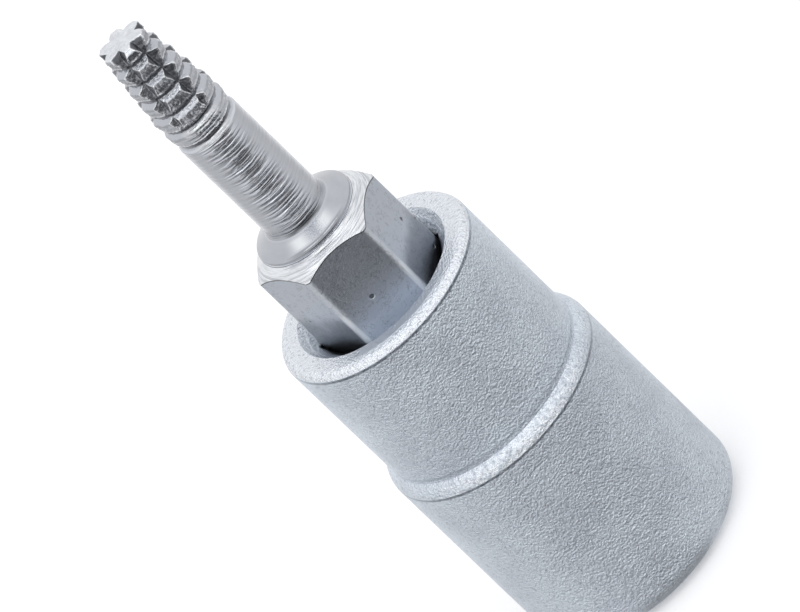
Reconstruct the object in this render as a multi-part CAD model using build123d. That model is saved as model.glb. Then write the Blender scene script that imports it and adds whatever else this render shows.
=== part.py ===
# Screw extractor: a ring-grooved, fluted taper on a hex shank, pressed into a quarter inch drive socket.
# The origin is the middle of the drive end face and +Z runs along the axis towards the tip.
# The part stands on its drive end. All sizes are in millimetres.
import os
from math import atan2, degrees, hypot

from build123d import *

# Driving dimensions of the socket, outside
socket_length = 20.0
rear_diameter = 12.0
step_height = 0.45          # how far the front section is turned down, on the radius
front_length = 8.0          # straight front section, from the mouth to the shoulder
shoulder_length = 0.8       # rounded shoulder between the two diameters
rear_round = 1.2
rim_round = 0.52
rim_land = 0.68             # flat ring between the outer round and the countersink

# Driving dimensions of the socket, inside
drive_square = 6.45         # female square for a 6.35 mm drive
drive_corner_radius = 0.5
drive_depth = 8.0
drive_lead_in = 0.75        # cone at the mouth of the square, on the radius
detent_radius = 1.0         # drilled dimple for the ball of the drive
detent_depth = 0.5
detent_height = 4.0
web_thickness = 2.0         # wall between the square and the hex
knockout_diameter = 3.0     # hole for pressing a worn bit out
hex_clearance = 0.02        # on each flat of the pressed shank
relief_gap = 0.12           # wider mouth of the hex hole, on each flat
relief_depth = 2.2          # of that wider mouth, from the end of the socket

# Driving dimensions of the bit
bit_projection = 18.0       # from the mouth of the socket to the end of the tip
hex_across_flats = 6.35
hex_corner_diameter = 7.2   # the corners of the hex are turned to this size
shank_end_chamfer = 0.5
stem_diameter = 3.38
stem_end = 12.34            # from the tip to where the stem starts to flare
collar_diameter = 5.48
collar_fall = 0.55          # how far the cone of the collar falls along the axis
collar_cove = 0.16          # size of the hollow blend at the foot of the stem
collar_round = 0.13         # size of the rounded edge of the collar
undercut_width = 0.12       # small turned line between the collar and the hex chamfer
undercut_depth = 0.08
hex_chamfer_length = 0.74   # along the axis, from the undercut to the turned corners

# Driving dimensions of the tip
tip_diameter = 2.5
taper_length = 4.5          # from the end face to where the crests reach the stem diameter
groove_count = 6
groove_pitch = 1.0
first_groove = 0.95         # from the end face to the bottom of the first groove
first_groove_depth = 0.27   # below the line of the crests
last_groove_depth = 0.1
crest_land = 0.21
bite_length = 0.09          # along the axis, of the steep flank that faces the tip
flute_count = 6
flute_radius = 0.55
fluted_crests = 4           # ring crests that the flutes cross; they end in the groove below
flute_core_diameter = 1.84  # across the bottoms of the flutes at the end face
flute_end_diameter = 3.14   # across them where they end
flute_overrun = 1.0         # how far the round cutter starts ahead of the end face

# Places worked out from the driving dimensions
rear_radius = rear_diameter / 2
front_radius = rear_radius - step_height
shoulder_top = socket_length - front_length
seat_height = drive_depth + web_thickness
total_length = socket_length + bit_projection
stem_radius = stem_diameter / 2
tip_radius = tip_diameter / 2
hex_corner_radius = hex_corner_diameter / 2
collar_radius = collar_diameter / 2
flute_length = first_groove + fluted_crests * groove_pitch


def turned(outline):
    """One solid of revolution about Z from an outline of radius and height."""
    return revolve(Plane.XZ * make_face(outline), Axis.Z)


def hex_bar(across_flats, height):
    """A hexagonal bar standing on the XY plane, with flats that face -Y and +Y."""
    section = RegularPolygon(across_flats / 2, 6, major_radius=False)
    return extrude(section, height)


def cone_sink(mouth_radius, mouth_height, direction):
    """A 45 degree countersink cutter whose wide end lies at mouth_height."""
    point = mouth_height - direction * mouth_radius
    return turned(Polyline((0, point), (mouth_radius, mouth_height), (0, mouth_height), close=True))


# Drive socket

def socket_blank():
    """The turned outside: rounded rear edge, rounded shoulder and rounded mouth."""
    rear_edge = (rear_radius - rear_round, 0)
    rear_top = (rear_radius, rear_round)
    shoulder_foot = (rear_radius, shoulder_top - shoulder_length)
    shoulder_edge = (front_radius, shoulder_top)
    rim_foot = (front_radius, socket_length - rim_round)
    rim_top = (front_radius - rim_round, socket_length)
    outline = Curve() + [
        TangentArc(rear_edge, rear_top, tangent=(1, 0)),
        Line(rear_top, shoulder_foot),
        TangentArc(shoulder_foot, shoulder_edge, tangent=(0, 1)),
        Line(shoulder_edge, rim_foot),
        TangentArc(rim_foot, rim_top, tangent=(0, 1)),
        Polyline(rim_top, (0, socket_length), (0, 0), rear_edge),
    ]
    return turned(outline)


def drive_hole():
    """The female square with its lead-in cone."""
    section = RectangleRounded(drive_square, drive_square, drive_corner_radius)
    return extrude(section, drive_depth) + cone_sink(drive_square / 2 + drive_lead_in, 0, -1)


def detent_dimples():
    """A shallow drilled dimple in each side of the square, for the ball of the drive."""
    drill = Cylinder(detent_radius, detent_depth, align=(Align.CENTER, Align.CENTER, Align.MIN))
    dimple = Pos(drive_square / 2, 0, detent_height) * Rot(0, 90, 0) * drill
    return [Rot(0, 0, 90 * side) * dimple for side in range(4)]


def shank_hole():
    """The hex hole for the bit, its wider mouth and the countersink in the rim."""
    fit = hex_bar(hex_across_flats + 2 * hex_clearance, socket_length - seat_height)
    relief = hex_bar(hex_across_flats + 2 * relief_gap, relief_depth)
    sink = cone_sink(front_radius - rim_round - rim_land, socket_length, 1)
    return Pos(0, 0, seat_height) * fit + Pos(0, 0, socket_length - relief_depth) * relief + sink


def drive_socket():
    knockout = Pos(0, 0, seat_height / 2) * Cylinder(knockout_diameter / 2, seat_height)
    socket = socket_blank() - drive_hole() - shank_hole() - knockout
    for dimple in detent_dimples():
        socket -= dimple
    return socket


# Extractor bit

def crest_radius(from_tip):
    """Radius of the line of the crests at a distance from the end face."""
    return tip_radius + (stem_radius - tip_radius) * min(1.0, from_tip / taper_length)


def groove_depth(number):
    return first_groove_depth + (last_groove_depth - first_groove_depth) * number / (groove_count - 1)


def groove_points(number):
    """One saw-tooth ring groove: down to its bottom, then up the steep flank to the next crest."""
    bottom = first_groove + number * groove_pitch
    crest = bottom + bite_length
    return [
        (crest_radius(bottom) - groove_depth(number), total_length - bottom),
        (crest_radius(crest), total_length - crest),
        (crest_radius(crest + crest_land), total_length - crest - crest_land),
    ]


def bit_blank():
    """The turned bit: ring-grooved taper, stem, coned collar and chamfer of the hex."""
    stem_foot = total_length - stem_end
    cone_top = Vector(stem_radius, stem_foot - collar_cove)
    cone_foot = Vector(collar_radius, cone_top.Y - collar_fall)
    slope = (cone_foot - cone_top).normalized()
    cove_end = cone_top + slope * collar_cove
    round_start = cone_foot - slope * collar_round
    collar_foot = cone_foot.Y - collar_round
    chamfer_top = collar_foot - undercut_width
    chamfer_foot = chamfer_top - hex_chamfer_length
    tip_points = [(0, total_length), (tip_radius, total_length)]
    for number in range(groove_count):
        tip_points += groove_points(number)
    shank_points = [
        (collar_radius, collar_foot),
        (collar_radius - undercut_depth, collar_foot - undercut_width / 2),
        (collar_radius, chamfer_top),
        (hex_corner_radius, chamfer_foot),
        (hex_corner_radius, seat_height + shank_end_chamfer),
        (hex_corner_radius - shank_end_chamfer, seat_height),
        (0, seat_height),
        (0, total_length),
    ]
    outline = Curve() + [
        Polyline(*tip_points, (stem_radius, stem_foot)),
        Bezier((stem_radius, stem_foot), cone_top, cove_end),
        Line(cove_end, round_start),
        Bezier(round_start, cone_foot, (collar_radius, collar_foot)),
        Polyline(*shank_points),
    ]
    return turned(outline)


def flute_cutter():
    """A round cutter whose floor climbs from the core at the end face to the end of the flutes."""
    core_radius = flute_core_diameter / 2
    climb = flute_end_diameter / 2 - core_radius
    lean = degrees(atan2(climb, flute_length))
    travel = hypot(climb, flute_length) + flute_overrun
    cutter = Pos(flute_radius, 0, flute_overrun - travel / 2) * Cylinder(flute_radius, travel)
    return Pos(core_radius, 0, total_length) * Rot(0, -lean, 0) * cutter


def extractor_bit():
    bit = bit_blank() & Pos(0, 0, seat_height) * hex_bar(hex_across_flats, total_length - seat_height)
    for number in range(flute_count):
        bit -= Rot(0, 0, number * 360 / flute_count) * flute_cutter()
    return bit


os.makedirs("parts", exist_ok=True)
export_step(extractor_bit(), "parts/extractor_bit.step")
export_step(drive_socket(), "parts/drive_socket.step")
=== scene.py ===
import math
from types import SimpleNamespace

import bpy
import numpy as np
from mathutils import Matrix, Vector


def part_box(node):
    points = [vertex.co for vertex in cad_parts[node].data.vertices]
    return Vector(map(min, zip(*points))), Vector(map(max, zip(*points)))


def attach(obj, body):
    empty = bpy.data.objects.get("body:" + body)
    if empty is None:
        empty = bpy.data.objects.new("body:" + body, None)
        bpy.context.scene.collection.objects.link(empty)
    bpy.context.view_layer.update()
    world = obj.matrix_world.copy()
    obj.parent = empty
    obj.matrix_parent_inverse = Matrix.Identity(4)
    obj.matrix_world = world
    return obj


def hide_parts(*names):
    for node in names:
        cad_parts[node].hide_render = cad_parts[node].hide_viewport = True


mm = 0.001
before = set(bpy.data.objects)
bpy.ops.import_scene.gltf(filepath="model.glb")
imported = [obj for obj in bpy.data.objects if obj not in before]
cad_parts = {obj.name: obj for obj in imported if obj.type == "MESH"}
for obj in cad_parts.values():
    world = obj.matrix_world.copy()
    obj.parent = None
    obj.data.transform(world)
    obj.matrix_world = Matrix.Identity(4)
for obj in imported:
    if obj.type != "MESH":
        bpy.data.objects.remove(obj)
scene = bpy.context.scene
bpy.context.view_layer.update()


# the Math node of an operator, with the value first or last
def ahead(operation):
    return lambda value, other: value.maker.maths(operation, value, other)


def behind(operation):
    return lambda value, other: value.maker.maths(operation, other, value)


# One socket of a node tree; an expression on values adds its Math nodes
class Value:
    __add__, __radd__ = ahead("ADD"), behind("ADD")
    __sub__, __rsub__ = ahead("SUBTRACT"), behind("SUBTRACT")
    __mul__, __rmul__ = ahead("MULTIPLY"), behind("MULTIPLY")
    __truediv__, __rtruediv__ = ahead("DIVIDE"), behind("DIVIDE")
    __lt__, __gt__ = ahead("LESS_THAN"), ahead("GREATER_THAN")

    def __init__(self, maker, socket):
        self.maker = maker
        self.socket = socket

    # another output of the same node
    def out(self, name):
        return Value(self.maker, self.socket.node.outputs[name])


# Adds nodes to one shader or geometry tree
class NodeMaker:
    def __init__(self, tree):
        self.tree = tree

    # a node by its type, its settings and its sockets' values or links, by name or number
    def add(self, kind, settings=None, sockets=None, output=0):
        node = self.tree.nodes.new(kind)
        for name, value in (settings or {}).items():
            if name == "stops":
                self.setStops(node.color_ramp, value)
            else:
                setattr(node, name, value)
        for name, value in (sockets or {}).items():
            socket = self.inputOf(node, name)
            if isinstance(value, Value):
                self.tree.links.new(value.socket, socket)
            else:
                socket.default_value = value
        if not node.outputs:
            return node
        if isinstance(output, int):
            return Value(self, [s for s in node.outputs if s.enabled][output])
        return Value(self, node.outputs[output])

    def inputOf(self, node, name):
        if isinstance(name, int):
            return node.inputs[name]
        return next(s for s in node.inputs if s.name == name and s.enabled)

    def setStops(self, ramp, stops):
        while len(ramp.elements) < len(stops):
            ramp.elements.new(1.0)
        for element, (place, shade) in zip(ramp.elements, stops):
            element.position = place
            element.color = (shade, shade, shade, 1)

    def maths(self, operation, *values):
        return self.add("ShaderNodeMath", {"operation": operation}, dict(enumerate(values)))

    def absolute(self, value):
        return self.maths("ABSOLUTE", value)

    def largest(self, first, *others):
        for other in others:
            first = self.maths("MAXIMUM", first, other)
        return first

    def smallest(self, first, second):
        return self.maths("MINIMUM", first, second)

    def vector(self, x, y, z):
        return self.add("ShaderNodeCombineXYZ", {}, {"X": x, "Y": y, "Z": z})

    # a vector times a number
    def scaled(self, vector, factor):
        return self.add("ShaderNodeVectorMath", {"operation": "SCALE"}, {0: vector, "Scale": factor})

    # from start below low to end above high, with a soft way between
    def step(self, value, low, high, start=0.0, end=1.0):
        return self.add(
            "ShaderNodeMapRange",
            {"interpolation_type": "SMOOTHSTEP"},
            {"Value": value, "From Min": low, "From Max": high, "To Min": start, "To Max": end},
        )

    # the other way round: 1 below low and 0 above high
    def fade(self, value, low, high):
        return self.step(value, low, high, 1.0, 0.0)

    # 1 between two places, with soft ends
    def band(self, value, low, high, soft):
        return self.step(value, low - soft, low + soft) * self.fade(value, high - soft, high + soft)

    # low where share is 0, high where it is 1
    def blend(self, share, low, high):
        return low + share * (high - low)

    # plain noise, 0 to 1 around 0.5
    def noise(self, vector, scale, detail, roughness):
        return self.add(
            "ShaderNodeTexNoise",
            {"noise_dimensions": "3D"},
            {"Vector": vector, "Scale": scale, "Detail": detail, "Roughness": roughness},
            "Fac",
        )

    # the same drawn out round the axis: lumps to the millimetre across it and along it
    def ringNoise(self, at, across, along, detail, roughness):
        stretched = self.vector(at.x * across, at.y * across, at.z * along)
        return self.noise(stretched, 1.0, detail, roughness)

    # keeps a value at each point of the mesh, for the material to read
    def storeMark(self, geometry, name, value):
        return self.add(
            "GeometryNodeStoreNamedAttribute",
            {"data_type": "FLOAT", "domain": "POINT"},
            {"Geometry": geometry, "Name": name, "Value": value},
        )

    def readMark(self, name):
        return self.add("ShaderNodeAttribute", {"attribute_name": name}, {}, "Fac")


def newObject(name, data):
    made = bpy.data.objects.new(name, data)
    scene.collection.objects.link(made)
    return made


def newPiece(name, points, faces):
    mesh = bpy.data.meshes.new(name)
    mesh.from_pydata(points, [], faces)
    mesh.update()
    return newObject(name, mesh)


# Columns and rows: a surface round the Z axis from rows of radius and height, in millimetres
columnCount = 180
fineCount = 360  # round the tip


def turnsOf(count):
    return np.arange(count) * 2 * np.pi / count


turns = turnsOf(columnCount)
ones = np.ones(columnCount)


def ring(radius, height, count=columnCount):
    return np.full(count, float(radius)), np.full(count, float(height))


# rows from a up to, but without, b
def between(a, b, count):
    return [(a[0] + (b[0] - a[0]) * k / count, a[1] + (b[1] - a[1]) * k / count) for k in range(count)]


# rows through all the stations, no further apart than gap
def through(stations, gap):
    rows = []
    for a, b in zip(stations, stations[1:]):
        far = float(np.max(np.hypot(b[0] - a[0], b[1] - a[1])))
        rows += between(a, b, max(1, math.ceil(far / gap - 1e-6)))
    return rows + [stations[-1]]


# the same for rows that go on from the last one in the list
def goOn(rows, stations, gap):
    rows += through([rows[-1]] + stations, gap)[1:]


# rows on a soft round with its corner at the middle point
def roundOff(start, corner, end, count):
    points = np.array([start, corner, end])
    shares = [((1 - t) ** 2, 2 * t * (1 - t), t**2) for t in np.linspace(0, 1, count + 1)]
    return [ring(*(share @ points)) for share in np.array(shares)]


# rows on a circular arc round centre, angles in degrees
def arc(centre, radius, first, last, count):
    angles = np.radians(np.linspace(first, last, count + 1))
    return [ring(centre[0] + radius * math.cos(a), centre[1] + radius * math.sin(a)) for a in angles]


# distance from the axis to the side of a regular bar, over all the columns
def barRadius(acrossFlats, sides, firstFlat):
    sweep = 2 * np.pi / sides
    away = (turns - math.radians(firstFlat) + sweep / 2) % sweep - sweep / 2
    return acrossFlats / 2 / np.cos(away)


# between two rows that start at points a and b; the upper one may be twice as fine
def facesBetween(a, b, upper, lower):
    faces = []
    for j in range(lower):
        k = (j + 1) % lower
        if upper == lower:
            faces.append((a + j, b + j, b + k, a + k))
        else:
            middle = a + 2 * j + 1
            faces += [(a + 2 * j, b + j, middle), (middle, b + j, b + k), (middle, b + k, a + 2 * k)]
    return faces


# closed by two poles, or from the last row back to the first
def surfaceOfRows(name, rows, poles):
    counts = [len(r) for r, _ in rows]
    starts = np.concatenate([[0], np.cumsum(counts)]).tolist()
    points = np.vstack([
        np.stack([r * np.cos(turnsOf(len(r))), r * np.sin(turnsOf(len(r))), z], -1) for r, z in rows
    ])
    faces = []
    for i in range(len(rows) - poles):
        below = (i + 1) % len(rows)
        faces += facesBetween(starts[i], starts[below], counts[i], counts[below])
    if poles:
        top, bottom = len(points), len(points) + 1
        points = np.vstack([points, [0, 0, rows[0][1].mean()], [0, 0, rows[-1][1].mean()]])
        faces += [(top, j, (j + 1) % counts[0]) for j in range(counts[0])]
        a = starts[-2]
        faces += [(bottom, a + (j + 1) % counts[-1], a + j) for j in range(counts[-1])]
    return newPiece(name, (points * mm).tolist(), faces)


def startTree(name, inputs):
    tree = bpy.data.node_groups.new(name, "GeometryNodeTree")
    addSocket = tree.interface.new_socket
    addSocket(name="Geometry", in_out="INPUT", socket_type="NodeSocketGeometry")
    for label, value in inputs.items():
        kind = "NodeSocketMaterial" if isinstance(value, bpy.types.Material) else "NodeSocketFloat"
        addSocket(name=label, in_out="INPUT", socket_type=kind)
    addSocket(name="Geometry", in_out="OUTPUT", socket_type="NodeSocketGeometry")
    n = NodeMaker(tree)
    return tree, n, n.add("NodeGroupInput", {}, {}, "Geometry")


def endTree(n, geometry, material):
    joined = n.add("GeometryNodeRealizeInstances", {}, {"Geometry": geometry})
    painted = n.add("GeometryNodeSetMaterial", {}, {"Geometry": joined, "Material": material})
    n.add("NodeGroupOutput", {}, {"Geometry": painted})


# Runs a node tree on the piece and keeps the result as a plain mesh
def applyTree(piece, tree, values, sharpAngle):
    modifier = piece.modifiers.new(tree.name, "NODES")
    modifier.node_group = tree
    for item in tree.interface.items_tree:
        if item.in_out == "INPUT" and item.name in values:
            modifier[item.identifier] = values[item.name]
    graph = bpy.context.evaluated_depsgraph_get()
    mesh = bpy.data.meshes.new_from_object(piece.evaluated_get(graph), depsgraph=graph)
    piece.modifiers.clear()
    piece.data = mesh
    mesh.name = piece.name
    mesh.shade_smooth()
    mesh.set_sharp_from_angle(angle=math.radians(sharpAngle))


# a point in millimetres, as a vector and as numbers, and its distance from the axis
def millimetres(n, place):
    point = n.scaled(place, 1 / mm)
    x = n.add("ShaderNodeSeparateXYZ", {}, {"Vector": point}, "X")
    y = x.out("Y")
    radius = n.maths("SQRT", x * x + y * y)
    return SimpleNamespace(point=point, x=x, y=y, z=x.out("Z"), radius=radius)


def objectPoint(n):
    return millimetres(n, n.add("ShaderNodeTexCoord", {}, {}, "Object"))


def meshPoint(n):
    return millimetres(n, n.add("GeometryNodeInputPosition"))


# an empty node tree for a material or a world
def emptyTree(owner):
    owner.use_nodes = True
    owner.node_tree.nodes.clear()
    return NodeMaker(owner.node_tree)


def newMaterial(name):
    material = bpy.data.materials.new(name)
    return material, emptyTree(material)


# a colour of a finish, and others laid over it by their shares
def layColours(n, finish, first, layers):
    colour = finish[first]
    for share, name in layers:
        sockets = {"Factor": share, "A": colour, "B": finish[name]}
        colour = n.add("ShaderNodeMix", {"data_type": "RGBA", "clamp_factor": True}, sockets)
    return colour


# ends a metal's tree; height times depth is in millimetres
def endMetal(n, colour, roughness, height, depth):
    normal = n.add("ShaderNodeBump", {}, {"Strength": 1.0, "Distance": depth * mm, "Height": height})
    shader = n.add(
        "ShaderNodeBsdfPrincipled",
        {},
        {"Metallic": 1.0, "Base Color": colour, "Roughness": roughness, "Normal": normal},
    )
    n.add("ShaderNodeOutputMaterial", {}, {"Surface": shader})


# The bit: a turned blank, into which a tree with these inputs cuts the ring-grooved and fluted tip
# and the hex shank; in millimetres, with places counted from the end face
bit = {
    "Tip End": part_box("extractor_bit")[1].z / mm,
    "Tip Diameter": 2.5,
    "Stem Diameter": 3.38,
    "Taper Length": 4.5,
    "Last Groove": 5.0,  # number of the last groove, counted from 0
    "Groove Pitch": 1.02,
    "First Root": 0.83,  # from the tip to the first root band
    "Root Width": 0.10,
    "First Depth": 0.28,
    "Last Depth": 0.15,
    "Bite Length": 0.17,  # flank that faces the tip
    "Crest Land": 0.17,
    "Back Share": 0.62,  # of the depth, where the back slope drops into the root
    "Lip Place": 0.68,  # where that is, as a share of the back slope
    "Flute Step": math.radians(60),
    "Flute Slope": 0.80,  # rise of the flute walls, away from the floor
    "Flute Floor": 0.03,  # half the width of the floor
    "Core Diameter": 1.80,
    "Flute End Diameter": 3.02,  # across the flute floors at their end
    "Flute Length": 5.02,
    "End Notch": 0.08,  # how much deeper the flutes are at the end face
    "End Steepness": 0.2,  # and how much steeper their walls are there
    "Notch Length": 0.55,
    "Floor Rise": 0.075,  # how much shallower they are in the last ring
    "Rise Start": 3.45,
    "Rise End": 4.0,
    "Hex Across Flats": 6.35,
    "Edge Softness": 0.04,
    "Lip": 0.03,  # raised by the rolling along the edges of the teeth
    "Lip Width": 0.065,
    "Burr": 0.13,
    "End Slant": 0.1,  # the worn end face falls towards +X
    "End Wear": 0.03,  # and its points are blunt
    "End Round": 0.24,  # most on the point that faces the front
    "Line Depth": 0.03,
    "Seed": 4.0,
}

# below the tip, in millimetres
shank = {
    "stemEnd": 12.34,
    "cove": 0.16,
    "collarRadius": 2.74,
    "collarFall": 0.55,
    "collarRound": 0.13,
    "undercutWidth": 0.12,
    "undercutDepth": 0.08,
    "chamferLength": 0.74,
    "cornerRadius": 3.6,
    "endChamfer": 0.5,
    "mouthHeight": 20.0,
    "seatHeight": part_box("extractor_bit")[0].z / mm,
}

# rows of the bit's mesh: the largest gaps in millimetres, and counts
bitMesh = {
    "endRadii": (0.15, 0.3, 0.45, 0.6, 0.72, 0.84, 0.94, 1.02, 1.1, 1.16, 1.2),
    "endEdge": ((0.02, 0.004), (0.004, 0.018)),  # in from the tip's radius, down from its end
    "firstCorner": 0.04,
    "rootEdge": 0.03,
    "tipGap": 0.05,
    "stemGap": 0.055,
    "coneGap": 0.12,
    "undercutGap": 0.06,
    "hexGap": 0.5,
    "hiddenGap": 2.5,
    "biteRows": 7,
    "coveRows": 7,
    "edgeRows": 6,
    "chamferRows": 7,
    "chamferStop": 0.14,  # above the edge between the chamfer and the flats
    "edgeHeights": (0.09, 0.05, 0.025, 0.0, -0.025, -0.05, -0.09, -0.15, -0.3),
    "flatStart": 0.5,  # below that edge
    "footShares": (1, 0.6, 0.25),
    "sharpAngle": 50,  # degrees
}


# radius of the line of the crests
def crestLine(fromTip):
    tipRadius, stemRadius = bit["Tip Diameter"] / 2, bit["Stem Diameter"] / 2
    return tipRadius + (stemRadius - tipRadius) * min(1.0, fromTip / bit["Taper Length"])


# the end face and the taper, with a row at each corner of the saw teeth
def tipRows():
    end, tipRadius, mesh = bit["Tip End"], bit["Tip Diameter"] / 2, bitMesh
    rows = [ring(radius, end, fineCount) for radius in mesh["endRadii"]]
    rows += [ring(tipRadius - aside, end - down, fineCount) for aside, down in mesh["endEdge"]]
    corners = {mesh["firstCorner"]}
    for k in range(int(bit["Last Groove"]) + 1):
        root = bit["First Root"] + k * bit["Groove Pitch"]
        bite = root + bit["Root Width"]
        crest = bite + bit["Bite Length"]
        corners |= {root - mesh["rootEdge"], root, crest + bit["Crest Land"]}
        corners |= set(np.linspace(bite, crest, mesh["biteRows"]).tolist())
    places = sorted(corners | {bit["Taper Length"]})
    rows += through([ring(crestLine(u), end - u, fineCount) for u in places], mesh["tipGap"])
    return rows, max(corners)


# the cone that meets the six flats in curved edges, with a row on the edge itself
def chamferRows(chamferTop):
    grow = (shank["cornerRadius"] - shank["collarRadius"]) / shank["chamferLength"]
    hexRadius = np.minimum(barRadius(bit["Hex Across Flats"], 6, 30), shank["cornerRadius"])
    edge = chamferTop - (hexRadius - shank["collarRadius"]) / grow

    def coneRow(height):
        radius = shank["collarRadius"] + (chamferTop - height) * grow
        return np.minimum(radius, shank["cornerRadius"]), height

    mesh = bitMesh
    count, stop = mesh["chamferRows"], mesh["chamferStop"]
    rows = [coneRow(chamferTop + (edge + stop - chamferTop) * k / count) for k in range(1, count + 1)]
    rows += [coneRow(edge + height) for height in mesh["edgeHeights"]]
    return rows, coneRow(edge - mesh["flatStart"])


def bitRows():
    rows, tipEnd = tipRows()
    mesh = bitMesh

    # turned stem, cove, collar and the small line above the hex
    stemFoot = bit["Tip End"] - shank["stemEnd"]
    stemRadius, collarRadius, cove = bit["Stem Diameter"] / 2, shank["collarRadius"], shank["cove"]
    stemTop = bit["Tip End"] - tipEnd - mesh["tipGap"]
    rows += through([ring(stemRadius, stemTop), ring(stemRadius, stemFoot)], mesh["stemGap"])
    coneTop = np.array((stemRadius, stemFoot - cove))
    coneFoot = np.array((collarRadius, coneTop[1] - shank["collarFall"]))
    slope = (coneFoot - coneTop) / np.linalg.norm(coneFoot - coneTop)
    coveEnd, roundStart = coneTop + slope * cove, coneFoot - slope * shank["collarRound"]
    collarFoot = coneFoot[1] - shank["collarRound"]
    rows += roundOff((stemRadius, stemFoot), coneTop, coveEnd, mesh["coveRows"])[1:]
    rows += through([ring(*coveEnd), ring(*roundStart)], mesh["coneGap"])[1:]
    rows += roundOff(roundStart, coneFoot, (collarRadius, collarFoot), mesh["edgeRows"])[1:]
    chamferTop = collarFoot - shank["undercutWidth"]
    undercut = ring(collarRadius - shank["undercutDepth"], (collarFoot + chamferTop) / 2)
    goOn(rows, [undercut, ring(collarRadius, chamferTop)], mesh["undercutGap"])

    # hex shank, down to its chamfered end
    chamfer, flatTop = chamferRows(chamferTop)
    rows += chamfer
    seat = shank["seatHeight"]
    mouth = ring(shank["cornerRadius"], shank["mouthHeight"])
    foot = ring(shank["cornerRadius"], seat + shank["endChamfer"])
    rows += through([flatTop, mouth], mesh["hexGap"])
    goOn(rows, [foot], mesh["hiddenGap"])
    endRadius = shank["cornerRadius"] - shank["endChamfer"]
    return rows + [ring(endRadius * share, seat) for share in mesh["footShares"]]


# Burrs, chips and turned lines that the tree cuts
bitWear = {
    "least": 1e-4,  # radius that may be divided by
    "clear": 10.0,  # radius outside the bit, where no flute is cut
    "rootSoft": (0.07, 0.02),  # reach of the dark root band, dirt and painted shade, up the back slope, and its soft ends
    "biteStart": (0.01, 0.02),  # before and after the end of the root
    "ridgeSunk": (0.4, 0.75),  # the flute's lip ends at this share of the groove's depth
    "ridgeInside": (0.86, 0.97),  # and of the radius, on the end face
    "burrs": (2.2, 2.0, 0.6),  # lumps to the millimetre, detail, roughness
    "fineBurrs": (7.0, 2.0, 0.6),
    "fineShare": 0.8,
    "burrEnd": (5.6, 6.4),
    "endRound": 0.25,
    "stem": (4.3, 12.1, 0.15),  # turned lines: from, to, soft ends
    "wideLines": (0.15, 4.6, 1.0, 0.5),
    "brokenLines": (0.5, 6.5, 1.0, 0.5),
    "wideShare": 0.6,
    "lineRange": (0.42, 0.58),
    "lineFront": (0.35, 0.85, 0.3, 1.0),  # how deep at the sides and in front
    "slant": 0.9,
    "blunt": 0.5,
    "bluntRadius": (0.95, 1.3),
    "dropFrom": 0.1,
    "dropFine": 0.4,
    "dropShare": 0.8,
}

# Dirt and painted shade in the flutes and grooves, the painted shade darker in front and, in the
# flutes, on the right; metal rubbed bright on their edges, with painted highlights on the bitten
# flanks of the last rings in front. A front goes from 0 at the sides to 1 straight in front; where
# four numbers stand, the last two are the shares there
bitMarks = {
    "fluteEdge": (-0.03, 0.04),  # outside and inside the edge of the flute
    "fluteUneven": 0.08,
    "fluteSides": (-0.7, 0.1, 0.60, 0.88),  # along X: painted shade, lighter on the left and darker on the right
    "fluteEnd": (0.35, 0.75),  # darker up to here
    "fluteEndShade": 0.97,
    "fluteStart": (0.015, 0.05),
    "firstSlope": 0.78,
    "lastSlope": 0.40,
    "slopeSunk": (0.12, 0.3),
    "slopeUneven": 0.3,
    # painted shade: the back slopes are darker in front
    "slopeFront": (0.9, 0.98, 0.45, 1.0),
    "slopeLast": (4.95, 5.05, 1.0, 0.55),
    # painted shade: the root bands are darker in front
    "rootFront": (0.3, 0.8, 0.45, 1.0),
    "biteShade": 0.26,
    "start": (0.1, 0.2),
    "end": (6.08, 6.14),
    # painted highlight: the bitten flanks of the last rings are bright in front
    "lastRings": (5.0, 6.3, 0.05),
    "lastFront": (0.45, 0.85),
    "lastShare": 0.75,
    "endFace": (0.02, 0.05),
    "endShares": (0.4, 1.6, 1.2),  # plain, and by the coarse and the fine burrs
}


# Ring grooves: number of the groove, place in it, back slope, root band and flank that bites
def ringGrooves(n, size, at, crest):
    pitch, bite, land = size("Groove Pitch"), size("Bite Length"), size("Crest Land")
    back = pitch - bite - land - size("Root Width")
    start = size("First Root") - back
    number = n.maths("FLOOR", (at.fromTip - start) / pitch)
    number = n.smallest(n.largest(number, 0.0), size("Last Groove"))
    at.late = number / size("Last Groove")
    along = at.fromTip - start - number * pitch
    lipPlace = back * size("Lip Place")
    isFirst = at.fromTip < size("First Root")
    fall = n.blend(isFirst, along / lipPlace, at.fromTip / (start + lipPlace))
    fall = n.smallest(fall, 1.0) * size("Back Share")
    reach, soft = bitWear["rootSoft"]
    backShare = fall + n.step(along, lipPlace + soft, back) * (1 - size("Back Share"))
    biteShare = (pitch - land - along) / bite
    depth = n.blend(at.late, size("First Depth"), size("Last Depth"))
    share = n.smallest(backShare, biteShare)
    at.lip = n.step(size("Lip Width") - n.absolute(along - lipPlace), 0.0, size("Lip Width"))
    groove = n.maths("SMOOTH_MIN", crest, crest - depth * share, size("Edge Softness"))
    at.groove = groove + at.lip * size("Lip")
    at.sunk = (crest - at.groove) / depth
    before, after = bitWear["biteStart"]
    rootEnd = back + size("Root Width")
    at.root = n.band(along, back - reach, rootEnd, soft)
    at.bitten = n.step(along, rootEnd - before, rootEnd + after)


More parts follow.
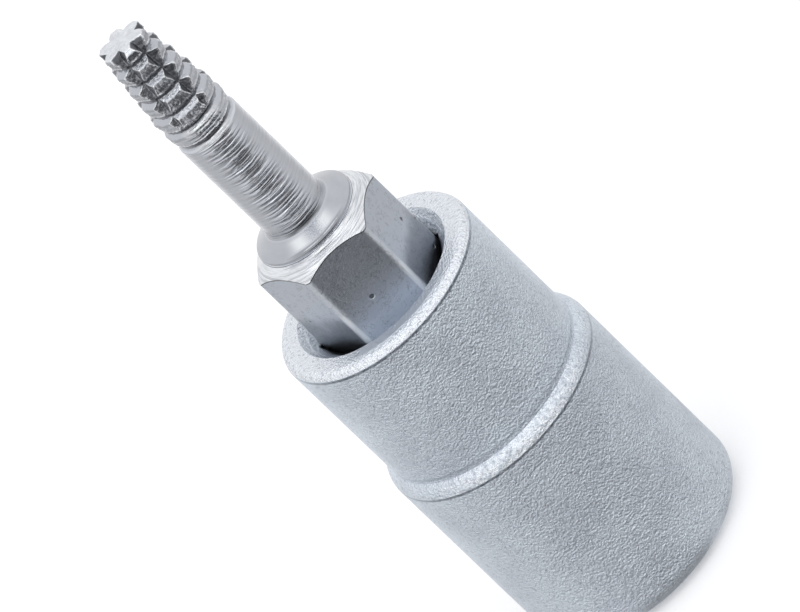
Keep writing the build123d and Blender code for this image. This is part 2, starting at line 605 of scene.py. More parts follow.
# radius of the nearest wall of the straight flutes, over their climbing floor
def fluteWall(n, size, fromTip, crest, turn):
    away = n.maths("WRAP", turn, size("Flute Step") * 0.5, size("Flute Step") * -0.5)
    side = n.absolute(crest * n.maths("SINE", away))
    core = size("Core Diameter") * 0.5
    atEnd = n.fade(fromTip, 0.0, size("Notch Length"))
    floor = core + (size("Flute End Diameter") * 0.5 - core) * fromTip / size("Flute Length")
    floor = floor - atEnd * size("End Notch")
    floor = floor + n.step(fromTip, size("Rise Start"), size("Rise End")) * size("Floor Rise")
    slope = size("Flute Slope") * (1 + atEnd * size("End Steepness"))
    wall = floor + n.largest(side - size("Flute Floor"), 0.0) * slope
    return n.blend(fromTip < size("Flute Length"), bitWear["clear"], wall)


# how deep the lines of the turned stem are cut
def stemLines(n, size, at):
    wide, broken = n.ringNoise(at, *bitWear["wideLines"]), n.ringNoise(at, *bitWear["brokenLines"])
    share = bitWear["wideShare"]
    lines = n.step(wide * share + broken * (1 - share), *bitWear["lineRange"])
    onStem = n.band(at.fromTip, *bitWear["stem"])
    return onStem * size("Line Depth") * lines * n.step(at.inFront, *bitWear["lineFront"])


# how much residue and painted shade, and how much bright metal and painted highlight each point has
def tipMarks(n, at, wall, ridge):
    marks = bitMarks
    # dirt and painted shade in the flutes, darker on the right
    inFlute = n.step(at.groove - wall + at.fine * marks["fluteUneven"], *marks["fluteEdge"])
    atEnd = n.fade(at.fromTip, *marks["fluteEnd"]) * marks["fluteEndShade"]
    inFlute = inFlute * n.largest(n.step(at.x, *marks["fluteSides"]), atEnd)
    # painted shade on the back slopes and the root bands, darker in front
    slope = n.step(at.sunk + at.coarse * marks["slopeUneven"], *marks["slopeSunk"])
    slope = slope * (1 - at.bitten) * (1 - at.lip)
    slope = slope * n.blend(at.late, marks["firstSlope"], marks["lastSlope"])
    slope = slope * n.step(at.inFront, *marks["slopeFront"]) * n.step(at.fromTip, *marks["slopeLast"])
    root = at.root * n.step(at.inFront, *marks["rootFront"])
    inGroove = n.largest(root, slope, at.bitten * marks["biteShade"])
    inGroove = inGroove * n.step(at.fromTip, *marks["start"])
    dark = n.largest(inFlute * n.step(at.fromTip, *marks["fluteStart"]), inGroove)
    dark = dark * (1 - ridge) * n.fade(at.fromTip, *marks["end"])

    worn = at.lip * at.onTip * (1 - inFlute)
    # painted highlight on the bitten flanks of the last rings, only in front
    lastRings = n.band(at.fromTip, *marks["lastRings"]) * n.step(at.inFront, *marks["lastFront"])
    lastRings = lastRings * at.bitten * (marks["lastShare"] + at.fine)
    plain, byCoarse, byFine = marks["endShares"]
    endFace = n.fade(at.fromTip, *marks["endFace"]) * (plain + at.coarse * byCoarse + at.fine * byFine)
    rubbed = n.largest(ridge, worn, lastRings, endFace)
    return dark, rubbed


# Cuts the tip and the hex into the turned blank
def cutTree(inputs):
    tree, n, group = startTree("cutBit", inputs)
    size, at = group.out, meshPoint(n)
    at.fromTip = size("Tip End") - at.z
    turn = n.maths("ARCTAN2", at.y, at.x)
    blank = n.largest(at.radius, bitWear["least"])
    at.inFront = at.y * at.y / (blank * blank)
    tipRadius = size("Tip Diameter") * 0.5
    rise = size("Stem Diameter") * 0.5 - tipRadius
    crest = tipRadius + rise * n.smallest(at.fromTip / size("Taper Length"), 1.0)

    # grooves and flutes, with a small lip along the edges of the flutes
    ringGrooves(n, size, at, crest)
    wall = fluteWall(n, size, at.fromTip, crest, turn)
    ridge = n.step(size("Lip Width") - n.absolute(wall - at.groove), 0.0, size("Lip Width"))
    ridge = ridge * n.fade(at.sunk, *bitWear["ridgeSunk"])
    ridge = ridge * n.step(blank / crest, *bitWear["ridgeInside"])
    cut = n.maths("SMOOTH_MIN", at.groove, wall, size("Edge Softness")) + ridge * size("Lip")

    # burrs and chips of the forged tip, and the lines of the turned stem
    shift = n.vector(size("Seed"), 0.0, 0.0)
    seeded = n.add("ShaderNodeVectorMath", {"operation": "ADD"}, {0: at.point, 1: shift})
    at.coarse = n.noise(seeded, *bitWear["burrs"]) - 0.5
    at.fine = n.noise(seeded, *bitWear["fineBurrs"]) - 0.5
    at.onTip = n.fade(at.fromTip, *bitWear["burrEnd"])
    cut = cut + at.onTip * size("Burr") * (at.coarse + at.fine * bitWear["fineShare"])
    endRound = n.fade(at.fromTip, 0.0, bitWear["endRound"]) * size("End Round")
    cut = cut - endRound * at.inFront * (at.y < 0.0) - stemLines(n, size, at)
    dark, rubbed = tipMarks(n, at, wall, ridge)

    # the share of the blank that stays, then the flats of the hex
    sixth = math.pi / 3
    flatAway = n.maths("WRAP", turn - sixth / 2, sixth / 2, -sixth / 2)
    flat = size("Hex Across Flats") * 0.5 / n.maths("COSINE", flatAway)
    kept = n.maths("SMOOTH_MIN", blank * cut / crest, flat, size("Edge Softness"))
    scale = kept / blank * mm

    # how far each point drops: chips, the slant of the worn end face and its blunt points
    least = bitWear["dropFrom"]
    chips = n.largest(at.coarse + at.fine * bitWear["dropFine"], -least) + least
    slant = n.fade(at.fromTip, 0.0, bitWear["slant"]) * (at.x / tipRadius + 1) * 0.5
    blunt = n.fade(at.fromTip, 0.0, bitWear["blunt"]) * n.step(kept, *bitWear["bluntRadius"])
    drop = chips * at.onTip * size("Burr") * bitWear["dropShare"]
    drop = drop + slant * size("End Slant") + blunt * size("End Wear")

    # kept before the points move, while the values still belong to the blank
    marked = n.storeMark(n.storeMark(group, "dark", dark), "rubbed", rubbed)
    place = n.vector(at.x * scale, at.y * scale, (at.z - drop) * mm)
    moved = n.add("GeometryNodeSetPosition", {}, {"Geometry": marked, "Position": place})
    endTree(n, moved, size("Material"))
    return tree


steelFinish = {
    "colour": (0.62, 0.64, 0.69, 1),
    "hex": (0.55, 0.59, 0.66, 1),
    # dark is for dirt and painted shade, bright for rubbed metal and painted highlights
    "dark": (0.085, 0.09, 0.10, 1),
    "bright": (0.86, 0.88, 0.91, 1),
    "speck": (0.33, 0.35, 0.39, 1),
    "roughness": 0.19,
    "hexRoughness": 0.33,
    "skinRoughness": 0.12,  # how much the fine skin changes it
    "chamferRoughness": 0.2,  # added on the chamfer
    "dirtRoughness": 0.15,  # added where the tip is marked dark, in its dirt and painted shade
    "edge": 0.01,  # soft edge of the chamfer, in millimetres

    # noises: lumps to the millimetre, detail and roughness, with two counts where drawn out
    "skin": (8.0, 3.0, 0.6),
    "lines": (0.25, 7.0, 3.0, 0.65),
    "cuts": (0.3, 14.0, 2.0, 0.5),
    "drift": (0.6, 2.6, 2.0, 0.6),
    "arcs": (1.5, 14.0, 2.0, 0.6),  # by the turn and the radius
    "curls": (4.2, 2.0, 0.6),
    "curlBreaks": (2.6, 1.0, 0.5),
    "patches": (0.9, 2.0, 0.55),

    # relief, in millimetres
    "lineDepth": 0.09,
    "cutShare": 0.4,
    "arcDepth": 0.10,
    "pitDepth": 0.05,
    "skinDepth": 0.006,
    "hexSkin": 0.016,
    "tipSkin": (0.016, 0.030),  # at the sides and in front
    "linePitch": 0.225,
    "lineDrift": 14.0,
    "waveShare": 0.32,  # of the even lines, against the uneven ones

    # places from the tip, in millimetres
    "stem": (4.6, 12.4, 0.12),  # from, to, soft ends
    "tip": (4.6, 5.4),
    "front": (0.45, 0.92, 0.12, 1.0),  # strength at the sides and in front
    "sideStrength": 0.4,  # how strong the tip's specks and the painted shade rings are at the sides

    # dirt and painted shade: how dark, and where
    "tipShade": 0.96,
    "speckRange": (0.42, 0.66),
    "speckStart": (0.1, 0.3),
    "speckShade": 0.5,
    # dark turned lines of the stem: residue, painted only in front as shade
    "lineRange": (0.36, 0.56),
    "lineShade": 0.54,
    "lineCuts": 0.2,
    # painted shade in rings at the stem's foot, in the cove and on the collar's edge, stronger in front:
    # from, to, soft ends, how much
    "paintedShadeRings": [(12.0, 12.40, 0.10, 0.40), (12.42, 12.56, 0.03, 0.88), (12.97, 13.19, 0.03, 0.55)],
    # painted shade on the sides of the collar's cone: from, to, soft ends
    "cone": (12.56, 13.12, 0.06),
    "coneSides": 1.2,  # less how far a point is in front
    "coneShade": 0.27,  # painted shade: how much darker the sides of the cone are
    "coneUneven": (0.6, 0.8),
    "outline": 0.85,  # along the edge between the chamfer and each flat
    "outlineBand": (0.015, 0.07, 0.01),
    "outlineStart": (0.1, 0.3),
    "footHeight": (15.8, 17.4),  # painted reflection of the dark socket mouth: the side flats are darker close to the socket
    "footRange": (0.35, 0.8),
    "footSides": (1.8, 2.0),  # from the middle, along X
    "footShade": 0.52,

    # specks on the flats and the chamfer
    "curlWidth": (0.012, 0.04),
    "curlBreak": (0.46, 0.54),
    "fleckShade": 0.62,
    "arcRange": (0.44, 0.6),
    "arcShade": 0.60,

    # rubbed bright: the chamfer; painted highlights: the corners of the hex, brighter close to the
    # socket, and two spots on the front of the cone
    "chamferRub": 0.85,
    "cornerRadius": (3.555, 3.585),
    "cornerHighlight": (16.3, 16.9, 0.22, 0.72),  # from, to, above and close to the socket
    "coneHighlight": (12.66, 12.93, 0.05),
    "spots": (0.4, 1.1, 0.3),  # from the middle, to, soft ends, along X
    "spotsAside": 0.06,

    # pits in the flats of the hex: place and radius
    "pits": [
        (-0.18, -3.18, 21.19, 0.17),
        (3.14, -0.91, 21.77, 0.12),
        (3.55, -0.20, 20.92, 0.10),
        (3.26, -0.70, 19.45, 0.12),
        (-3.14, -0.91, 21.24, 0.09),
    ],
    "pitUneven": 0.1,
    "pitShade": 0.8,
}


# where the stem, chamfer, hex and tip lie, and what their surface is like
def steelPlaces(n):
    finish, at = steelFinish, objectPoint(n)
    at.fromTip = bit["Tip End"] - at.z
    collar = shank["stemEnd"] + shank["cove"] + shank["collarFall"] + shank["collarRound"]
    at.chamferTop = top = collar + shank["undercutWidth"]
    grow = (shank["cornerRadius"] - shank["collarRadius"]) / shank["chamferLength"]
    at.fromCone = n.absolute(at.radius - shank["collarRadius"] - (at.fromTip - top) * grow)
    edge = finish["edge"]
    at.chamfer = n.fade(at.fromCone, edge, 3 * edge) * n.step(at.fromTip, top - edge, top + edge)
    at.hexagon = n.step(at.fromTip, top, top + 2 * edge) * (1 - at.chamfer)
    at.inFront = n.step(at.y * at.y / (at.radius * at.radius), *finish["front"])
    at.stem = n.band(at.fromTip, *finish["stem"]) * at.inFront
    at.onTip = n.fade(at.fromTip, *finish["tip"])

    # turned lines that break off and run into each other, and brushed arcs on the chamfer
    at.cuts, at.drift = n.ringNoise(at, *finish["cuts"]), n.ringNoise(at, *finish["drift"])
    uneven, share = n.ringNoise(at, *finish["lines"]), finish["waveShare"]
    wave = n.maths("SINE", at.z * (2 * math.pi / finish["linePitch"]) + at.drift * finish["lineDrift"])
    at.lines = uneven * (1 - share) + (wave * 0.5 + 0.5) * share
    polar = SimpleNamespace(x=at.x / at.radius, y=at.y / at.radius, z=at.radius)
    at.arcs = n.ringNoise(polar, *finish["arcs"])

    # fine skin, and pits of the forging
    at.skin, at.pitted = n.noise(at.point, *finish["skin"]), 0.0
    for px, py, pz, size in finish["pits"]:
        ends = {0: at.point, 1: (px, py, pz)}
        away = n.add("ShaderNodeVectorMath", {"operation": "DISTANCE"}, ends, "Value")
        away = away + (at.skin - 0.5) * finish["pitUneven"]
        at.pitted = at.pitted + n.fade(away, size * 0.5, size)
    return at


def steelRelief(n, at):
    finish = steelFinish
    height = (at.lines + at.cuts * finish["cutShare"]) * at.stem * finish["lineDepth"]
    height = height + at.arcs * at.chamfer * finish["arcDepth"]
    tipSkin = at.onTip * n.blend(at.inFront, *finish["tipSkin"])
    height = height + at.skin * (finish["skinDepth"] + at.hexagon * finish["hexSkin"] + tipSkin)
    return height - at.pitted * finish["pitDepth"]


# dark shares of the bit: dirt and pits, and painted shade
def steelShadeAndDirt(n, at):
    finish = steelFinish
    # specks of dirt on the tip, stronger in front as painted shade
    towardsFront = n.blend(at.inFront, finish["sideStrength"], 1.0)
    specks = n.step(at.skin, *finish["speckRange"]) * n.step(at.fromTip, *finish["speckStart"])
    specks = specks * at.onTip * towardsFront * finish["speckShade"]
    dirtAndShade = n.largest(n.readMark("dark") * finish["tipShade"], specks, at.pitted * finish["pitShade"])
    # painted shade in rings round the cove and the collar's edge
    for low, high, soft, share in finish["paintedShadeRings"]:
        dirtAndShade = n.largest(dirtAndShade, n.band(at.fromTip, low, high, soft) * share * towardsFront)
    # dark residue in the turned lines, painted only in front, where it stands for shade
    lines = n.blend(finish["lineCuts"], at.lines, at.cuts)
    lines = n.fade(lines, *finish["lineRange"]) * at.stem * finish["lineShade"]
    # painted shade on the sides of the cone
    plain, byDrift = finish["coneUneven"]
    cone = n.band(at.fromTip, *finish["cone"]) * (finish["coneSides"] - at.inFront) * finish["coneShade"]
    cone = cone * (plain + at.drift * byDrift)
    start, end = finish["outlineStart"]
    outline = n.step(at.fromTip, at.chamferTop + start, at.chamferTop + end)
    outline = outline * n.band(at.fromCone, *finish["outlineBand"]) * finish["outline"]
    # painted reflection: the side flats are darker close to the socket
    patches = (n.noise(at.point, *finish["patches"]) + n.step(at.fromTip, *finish["footHeight"])) * 0.5
    foot = n.step(patches, *finish["footRange"]) * n.step(n.absolute(at.x), *finish["footSides"])
    return n.largest(dirtAndShade, lines, cone, outline, foot * at.hexagon * finish["footShade"])


def steelRubAndHighlight(n, at, specks):
    finish = steelFinish
    # painted highlights on the corners of the hex and two spots on the front of the cone
    corner = n.step(at.radius, *finish["cornerRadius"]) * n.step(at.fromTip, *finish["cornerHighlight"])
    spots = n.band(n.absolute(at.x + finish["spotsAside"]), *finish["spots"]) * (at.y < 0.0)
    cone = n.band(at.fromTip, *finish["coneHighlight"]) * spots
    chamfer = at.chamfer * finish["chamferRub"] * (1 - specks)
    return n.largest(n.readMark("rubbed"), chamfer, corner * at.hexagon, cone)


def bitSteel():
    material, n = newMaterial("bitSteel")
    finish, at = steelFinish, steelPlaces(n)
    curl = n.absolute(n.noise(at.point, *finish["curls"]) - 0.5)
    flecks = n.fade(curl, *finish["curlWidth"]) * at.hexagon * finish["fleckShade"]
    flecks = flecks * n.step(n.noise(at.point, *finish["curlBreaks"]), *finish["curlBreak"])
    specks = n.largest(flecks, n.step(at.arcs, *finish["arcRange"]) * at.chamfer * finish["arcShade"])
    layers = [
        (at.hexagon, "hex"),
        (specks, "speck"),
        (steelRubAndHighlight(n, at, specks), "bright"),
        (steelShadeAndDirt(n, at), "dark"),
    ]
    rough = n.blend(at.hexagon, finish["roughness"], finish["hexRoughness"])
    rough = rough + (at.skin - 0.5) * finish["skinRoughness"] + at.chamfer * finish["chamferRoughness"]
    rough = rough + n.readMark("dark") * finish["dirtRoughness"]
    endMetal(n, layColours(n, finish, "colour", layers), rough, steelRelief(n, at), 1.0)
    return material


bitPiece = surfaceOfRows("extractorBit", bitRows(), True)
bitInputs = dict(bit, Material=bitSteel())
applyTree(bitPiece, cutTree(bitInputs), bitInputs, bitMesh["sharpAngle"])
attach(bitPiece, "root")
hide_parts("extractor_bit")
print("bit made:", len(bitPiece.data.polygons), "faces")


# The socket: turned outside, hex hole for the bit and square hole for the drive, in millimetres
socket = {
    "length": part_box("drive_socket")[1].z / mm,
    "rearRadius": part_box("drive_socket")[1].x / mm,
    "frontRadius": 5.55,
    "rearRound": 1.2,
    "shoulderTop": 12.0,
    "shoulderLength": 0.8,
    "rimRound": 0.52,
    "rimLand": 0.68,
    "reliefAcross": 6.59,
    "reliefDepth": 2.2,
    "hexAcross": 6.39,
    "seatHeight": 10.0,
    "knockoutRadius": 1.5,
    "squareDepth": 8.0,
    "squareAcross": 6.45,
    "squareCorner": 0.5,
    "leadIn": 0.75,
    "dimpleRadius": 1.0,
    "dimpleDepth": 0.5,
    "dimpleHeight": 4.0,
}

# rows of the socket's mesh: the largest gaps in millimetres, and counts
socketMesh = {
    "wallGap": 0.17,
    "leadInGap": 0.2,
    "squareGap": 0.6,
    "knockoutGap": 0.7,
    "hexGap": 1.2,
    "ledgeGap": 0.3,
    "rimGap": 0.12,
    "rimRows": 9,
    "shoulderRows": 9,
    "rearRows": 14,
    "dimpleRows": 25,
    "dimpleReach": 1.2,  # rows lie closer up to here from the middle of the dimples
    "dimpleEdge": 0.05,
    "least": 0.02,  # least width of the lead-in cone, at the corners of the square
    "sharpAngle": 40,  # degrees
}


# angle from the middle of the square's nearest side, over all the columns
def squareAway():
    return np.abs((turns + np.pi / 4) % (np.pi / 2) - np.pi / 4)


def squareRadius():
    half, corner = socket["squareAcross"] / 2, socket["squareCorner"]
    away, centre = squareAway(), half - corner
    onFlat = half * np.tan(away) <= centre
    under = np.maximum(corner**2 - centre**2 * (np.cos(away) - np.sin(away)) ** 2, 0)
    return np.where(onFlat, half / np.cos(away), centre * (np.cos(away) + np.sin(away)) + np.sqrt(under))


# a row of the square hole, pushed out in its dimples
def squareRow(height):
    away, edge = squareAway(), socketMesh["dimpleEdge"]
    off = np.hypot(socket["squareAcross"] / 2 * np.tan(away), height - socket["dimpleHeight"])
    share = np.clip((socket["dimpleRadius"] + edge - off) / (2 * edge), 0, 1)
    return squareRadius() + socket["dimpleDepth"] * share / np.cos(away), height * ones


# from the mouth down to the drive end
def outsideRows():
    top, rear, front = socket["length"], socket["rearRadius"], socket["frontRadius"]
    rim, back, mesh = socket["rimRound"], socket["rearRound"], socketMesh
    rows = arc((front - rim, top - rim), rim, 90, 0, mesh["rimRows"])
    shoulderFoot = socket["shoulderTop"] - socket["shoulderLength"]
    goOn(rows, [ring(front, socket["shoulderTop"])], mesh["wallGap"])
    rise, run = socket["shoulderLength"], rear - front
    shoulderRadius = (rise**2 + run**2) / (2 * run)
    sweep = math.degrees(math.asin(rise / shoulderRadius))
    centre = (rear - shoulderRadius, shoulderFoot)
    rows += arc(centre, shoulderRadius, sweep, 0, mesh["shoulderRows"])[1:]
    goOn(rows, [ring(rear, back)], mesh["wallGap"])
    return rows + arc((rear - back, back), back, 0, -90, mesh["rearRows"])[1:]


def socketRows():
    rows, mesh = outsideRows(), socketMesh

    # lead-in cone and square hole with its dimples
    square, least = squareRadius(), mesh["least"]
    mouth = socket["squareAcross"] / 2 + socket["leadIn"]
    leadIn = [(np.maximum(mouth, square + least), 0 * ones), (square, np.maximum(mouth - square, least))]
    goOn(rows, leadIn, mesh["leadInGap"])
    low = socket["dimpleHeight"] - mesh["dimpleReach"]
    high = socket["dimpleHeight"] + mesh["dimpleReach"]
    goOn(rows, [(square, low * ones)], mesh["squareGap"])
    rows += [squareRow(height) for height in np.linspace(low, high, mesh["dimpleRows"])[1:]]
    goOn(rows, [(square, socket["squareDepth"] * ones)], mesh["squareGap"])

    # web with its knock-out hole
    knock, seat = socket["knockoutRadius"], socket["seatHeight"]
    goOn(rows, [ring(knock, socket["squareDepth"])], mesh["squareGap"])
    goOn(rows, [ring(knock, seat)], mesh["knockoutGap"])

    # hex hole up to the countersink, and the flat ring of the rim
    hexFit = barRadius(socket["hexAcross"], 6, 30)
    relief = barRadius(socket["reliefAcross"], 6, 30)
    top, ledge = socket["length"], socket["length"] - socket["reliefDepth"]
    rimRadius = socket["frontRadius"] - socket["rimRound"]
    sinkRadius = rimRadius - socket["rimLand"]
    goOn(rows, [(hexFit, seat * ones), (hexFit, ledge * ones)], mesh["hexGap"])
    goOn(rows, [(relief, ledge * ones), (relief, top - (sinkRadius - relief))], mesh["ledgeGap"])
    goOn(rows, [ring(sinkRadius, top), ring(rimRadius, top)], mesh["rimGap"])
    return rows[:-1]


# Sinks the skin a little here and there, as blasting leaves it, but not on the drive end
def skinTree(inputs):
    tree, n, group = startTree("blastedSkin", inputs)
    size, at = group.out, meshPoint(n)
    lumps = n.noise(at.point, size("Scale"), size("Detail"), size("Roughness"))
    sunk = lumps * size("Depth") * -mm * n.step(at.z, size("Start"), size("End"))
    offset = n.scaled(n.add("GeometryNodeInputNormal"), sunk)
    moved = n.add("GeometryNodeSetPosition", {}, {"Geometry": group, "Offset": offset})
    endTree(n, moved, size("Material"))
    return tree


chromeFinish = {
    "colour": (0.77, 0.84, 0.92, 1),
    "shade": (0.64, 0.69, 0.77, 1),
    # bright is for the rubbed rim and the painted highlight on the shoulder; mark for stains and the
    # painted shade on the rim's flat land
    "bright": (0.82, 0.86, 0.92, 1),
    "mark": (0.46, 0.50, 0.57, 1),
    # painted shade: line for the dark lines beside the rubbed bands; gap for the painted shadow in the
    # gap round the shank
    "line": (0.16, 0.18, 0.21, 1),
    "gap": (0.03, 0.03, 0.035, 1),
    "roughness": 0.34,
    "polished": 0.20,  # roughness where the rim and the shoulder are rubbed
    "grainRoughness": 0.1,  # how much the fine grain changes it

    # noises: lumps to the millimetre, detail and roughness
    "fineGrain": (8.5, 3.0, 0.6),
    "coarseGrain": (4.25, 2.0, 0.5),
    "cloud": (0.35, 2.0, 0.5),
    "stains": (5.0, 3.0, 0.6),
    "grainDepth": 0.155,  # in millimetres
    "fineShare": 0.85,
    "coarseShare": 0.35,
    "flattened": 0.3,  # of the grain, where the skin is rubbed
    "shadeRange": (0.35, 0.65),
    "stainRange": (0.57, 0.64),
    "stainShade": 0.55,

    # rubbed rim, and shoulder rubbed with a painted highlight strongest in front: heights and radii in
    # millimetres, and fronts from -1 straight in front to 1 behind; where four numbers stand, the last
    # two are the shares there
    "rim": (19.63, 19.73),
    "shadeFront": (-0.97, -0.72),  # painted shade: the front of the rim's flat land is darker inside the radius below
    "shadeRadius": (4.86, 5.04),
    "shadeTop": (19.86, 19.96),
    "landShadeStrength": 0.9,
    "shoulder": (11.34, 12.04, 0.06),
    "shoulderGrain": (0.34, 0.58),
    # painted highlight: the shoulder is brighter in front
    "shoulderFront": (-0.92, -0.5, 1.0, 0.15),
    "shoulderRub": 0.95,

    # painted shade: thin dark lines beside them, stronger in front: from, to, how much
    "edgeLines": [(19.52, 19.65, 0.88), (11.20, 11.33, 0.85), (12.14, 12.30, 0.32)],
    "lineSoft": 0.03,
    "lineFront": (-0.85, -0.1, 1.0, 0.25),
    "lineRadius": 5.0,  # outside it only

    # painted shadow in the gap round the shank, at its sides
    "gapShadowHeight": (19.20, 19.45),
    "gapShadowRadius": 3.95,
    "gapShadowSides": (1.4, 2.1),  # from the middle, along X
}


def pearlChrome():
    material, n = newMaterial("pearlChrome")
    finish, at = chromeFinish, objectPoint(n)
    front = at.y / at.radius
    fine, coarse = n.noise(at.point, *finish["fineGrain"]), n.noise(at.point, *finish["coarseGrain"])
    cloud = n.step((fine + n.noise(at.point, *finish["cloud"])) * 0.5, *finish["shadeRange"])

    # the rim is rubbed bright; the shoulder is rubbed, with a painted highlight strongest in front; the
    # inner front of the rim's flat land gets painted shade
    shadedLand = n.fade(front, *finish["shadeFront"]) * n.fade(at.radius, *finish["shadeRadius"])
    onRim = n.step(at.z, *finish["rim"]) * (1 - shadedLand)
    onShoulder = n.band(at.z, *finish["shoulder"]) * n.step(coarse, *finish["shoulderGrain"])
    onShoulder = onShoulder * n.step(front, *finish["shoulderFront"]) * finish["shoulderRub"]
    rubbed = n.largest(onRim, onShoulder)
    stains = n.step(n.noise(at.point, *finish["stains"]), *finish["stainRange"]) * finish["stainShade"]
    # painted shade on the front of the rim's flat land, laid in the mark colour with the stains
    landShade = shadedLand * n.step(at.z, *finish["shadeTop"]) * finish["landShadeStrength"]
    layers = [(cloud, "colour"), (rubbed, "bright"), (n.largest(stains, landShade), "mark")]

    # painted shade lines beside them, and painted shadow in the gap round the shank
    onLines = (at.radius > finish["lineRadius"]) * (coarse + 0.5) * n.step(front, *finish["lineFront"])
    for low, high, share in finish["edgeLines"]:
        layers.append((n.band(at.z, low, high, finish["lineSoft"]) * onLines * share, "line"))
    # painted shadow in the gap round the shank
    gap = n.fade(at.z, *finish["gapShadowHeight"]) * (at.radius < finish["gapShadowRadius"])
    layers.append((gap * n.step(n.absolute(at.x), *finish["gapShadowSides"]), "gap"))

    rough = n.blend(rubbed, finish["roughness"], finish["polished"])
    rough = rough + (fine - 0.5) * finish["grainRoughness"]
    height = fine * finish["fineShare"] + coarse * finish["coarseShare"]
    height = height * (1 - rubbed * finish["flattened"])
    endMetal(n, layColours(n, finish, "shade", layers), rough, height, finish["grainDepth"])
    return material


skin = {
    "Scale": 2.5,  # lumps to the millimetre
    "Detail": 2.0,
    "Roughness": 0.6,
    "Depth": 0.012,  # in millimetres
    "Start": 0.1,  # height from which it sinks, and where it is full
    "End": 0.6,
    "Material": pearlChrome(),
}
socketPiece = surfaceOfRows("driveSocket", socketRows(), False)
applyTree(socketPiece, skinTree(skin), skin, socketMesh["sharpAngle"])
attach(socketPiece, "root")
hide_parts("drive_socket")
print("socket made:", len(socketPiece.data.polygons), "faces")


# Camera: where the photograph was taken from
view = {
    "aim": (-0.03 * mm, 2.50 * mm, 16.64 * mm),
    "distance": 644.86 * mm,
    "around": 4.26,  # degrees from straight in front, towards +X
    "above": 29.153,
    "roll": 46.07,
    "lens": 630.0,
    "nearest": 0.01,
}

# Floor, white to the camera and in mirrors, and a card that only reflections see
stage = {
    "front": view["around"] - 90,  # degrees, where the camera stands
    "floorSize": 4.0,
    "floorColour": (0.82, 0.82, 0.83, 1),
    "floorLift": 0.22,
    "worldLight": 1.0,
    "cardInner": 5.3 * mm,
    "cardOuter": 1.2,
    "cardHeight": 0.05 * mm,
    "cardSides": 96,
    # brightness of the card by the angle from the front, as a share of half a turn
    "cardShades": [
        (0.0, 0.16), (0.11, 0.19), (0.18, 0.42), (0.26, 0.80), (0.36, 0.76),
        (0.5, 0.68), (0.66, 0.66), (0.9, 1.0), (1.0, 1.05),
    ],
    "cardUnderTip": 0.55,  # darker where a steep reflection falls in front
    "steepFacing": (0.15, 0.42),
    "steepAngle": (0.25, 0.5),
    "cardAtFoot": 1.1,  # brighter close to the foot of the part
    "footRadius": (7.0, 12.0),  # in millimetres
    "footAngle": (0.12, 0.26),
}


def whiteRays(n):
    camera = n.add("ShaderNodeLightPath", {}, {}, "Is Camera Ray")
    return n.largest(camera, camera.out("Is Glossy Ray"), camera.out("Is Transmission Ray"))


def layFloor():
    bpy.ops.mesh.primitive_plane_add(size=stage["floorSize"])
    floor = bpy.context.object
    floor.name = "floor"
    material, n = newMaterial("paleFloor")
    plain = n.add("ShaderNodeBsdfDiffuse", {}, {"Color": stage["floorColour"]})
    lift = whiteRays(n) * stage["floorLift"]
    glow = n.add("ShaderNodeEmission", {}, {"Color": (1, 1, 1, 1), "Strength": lift})
    both = n.add("ShaderNodeAddShader", {}, {0: plain, 1: glow})
    n.add("ShaderNodeOutputMaterial", {}, {"Surface": both})
    floor.data.materials.append(material)


def cardGlow():
    material, n = newMaterial("cardShades")
    at = objectPoint(n)
    turn = n.maths("ARCTAN2", at.y, at.x) - math.radians(stage["front"])
    share = n.absolute(n.maths("WRAP", turn, math.pi, -math.pi)) / math.pi
    shade = n.add("ShaderNodeValToRGB", {"stops": stage["cardShades"]}, {"Fac": share}, "Color")
    facing = n.add("ShaderNodeLayerWeight", {}, {"Blend": 0.5}, "Facing")
    near = n.fade(at.radius, *stage["footRadius"]) * n.fade(share, *stage["footAngle"])
    steep = n.fade(facing, *stage["steepFacing"]) * n.fade(share, *stage["steepAngle"]) * (1 - near)
    strength = 1 - steep * stage["cardUnderTip"] + near * stage["cardAtFoot"]
    glow = n.add("ShaderNodeEmission", {}, {"Color": n.scaled(shade, strength)})
    n.add("ShaderNodeOutputMaterial", {}, {"Surface": glow})
    return material


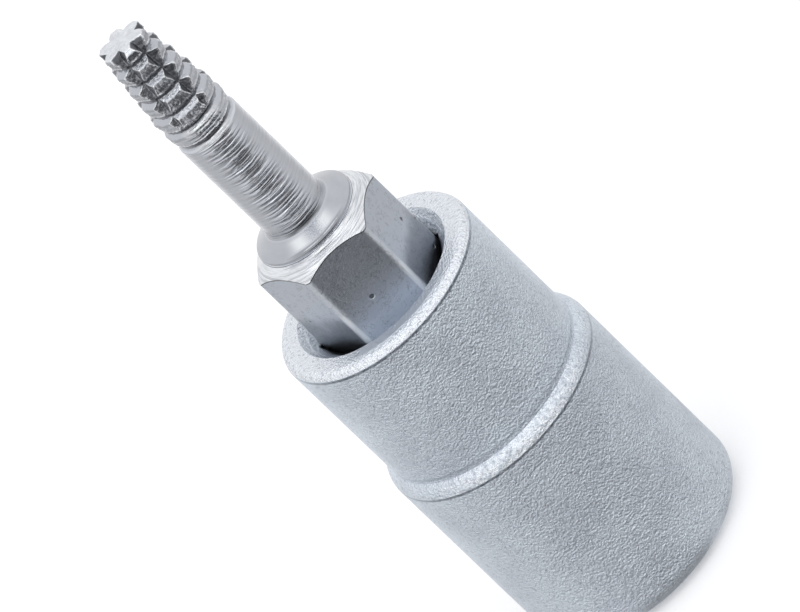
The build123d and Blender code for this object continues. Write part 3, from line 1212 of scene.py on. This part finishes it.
def layCard():
    count, height = stage["cardSides"], stage["cardHeight"]
    points = []
    for radius in (stage["cardInner"], stage["cardOuter"]):
        points += [(radius * math.cos(a), radius * math.sin(a), height) for a in turnsOf(count)]
    card = newPiece("reflectionCard", points, facesBetween(0, count, count, count))
    card.data.materials.append(cardGlow())
    for rays in ("camera", "diffuse", "shadow", "transmission"):
        setattr(card, "visible_" + rays, False)


def lightWorld():
    world = bpy.data.worlds.new("studio")
    scene.world = world
    n = emptyTree(world)
    glow = n.add("ShaderNodeBackground", {}, {"Color": (1, 1, 1, 1), "Strength": stage["worldLight"]})
    n.add("ShaderNodeOutputWorld", {}, {"Surface": glow})


# Soft lamps, with their degrees round the part from the camera and above the floor
lamps = {
    "places": {"softLeft": (-38, 58), "softRight": (34, 62)},
    "aim": (0, 0, 0.02),
    "distance": 0.6,
    "size": 0.30,
    "brightness": 1.2,
}


# unit vector by the degrees round the part from +X and above the floor
def direction(around, above):
    around, above = math.radians(around), math.radians(above)
    out = math.cos(above)
    return Vector((math.cos(around) * out, math.sin(around) * out, math.sin(above)))


def hangLamps():
    for name, (around, above) in lamps["places"].items():
        data = bpy.data.lights.new(name, "AREA")
        data.shape = "DISK"
        data.size = lamps["size"]
        data.energy = lamps["brightness"] * math.pi * math.pi * (lamps["size"] / 2) ** 2
        made = newObject(name, data)
        away = direction(stage["front"] + around, above)
        made.location = Vector(lamps["aim"]) + away * lamps["distance"]
        made.rotation_euler = away.to_track_quat("Z", "Y").to_euler()
        made.visible_camera = False


def setCamera():
    around, roll = math.radians(view["around"]), math.radians(view["roll"])
    away = direction(stage["front"], view["above"])
    level = Vector((math.cos(around), math.sin(around), 0))
    right = level * math.cos(roll) - away.cross(level) * math.sin(roll)
    data = bpy.data.cameras.new("camera")
    data.lens = view["lens"]
    data.clip_start = view["nearest"]
    camera = newObject("camera", data)
    turned = Matrix((right, away.cross(right), away)).transposed().to_4x4()
    camera.matrix_world = Matrix.Translation(Vector(view["aim"]) + away * view["distance"]) @ turned
    scene.camera = camera


layFloor()
layCard()
lightWorld()
hangLamps()
print("stage and lights set")
setCamera()
scene.view_settings.view_transform = "Standard"

print("scene ready")
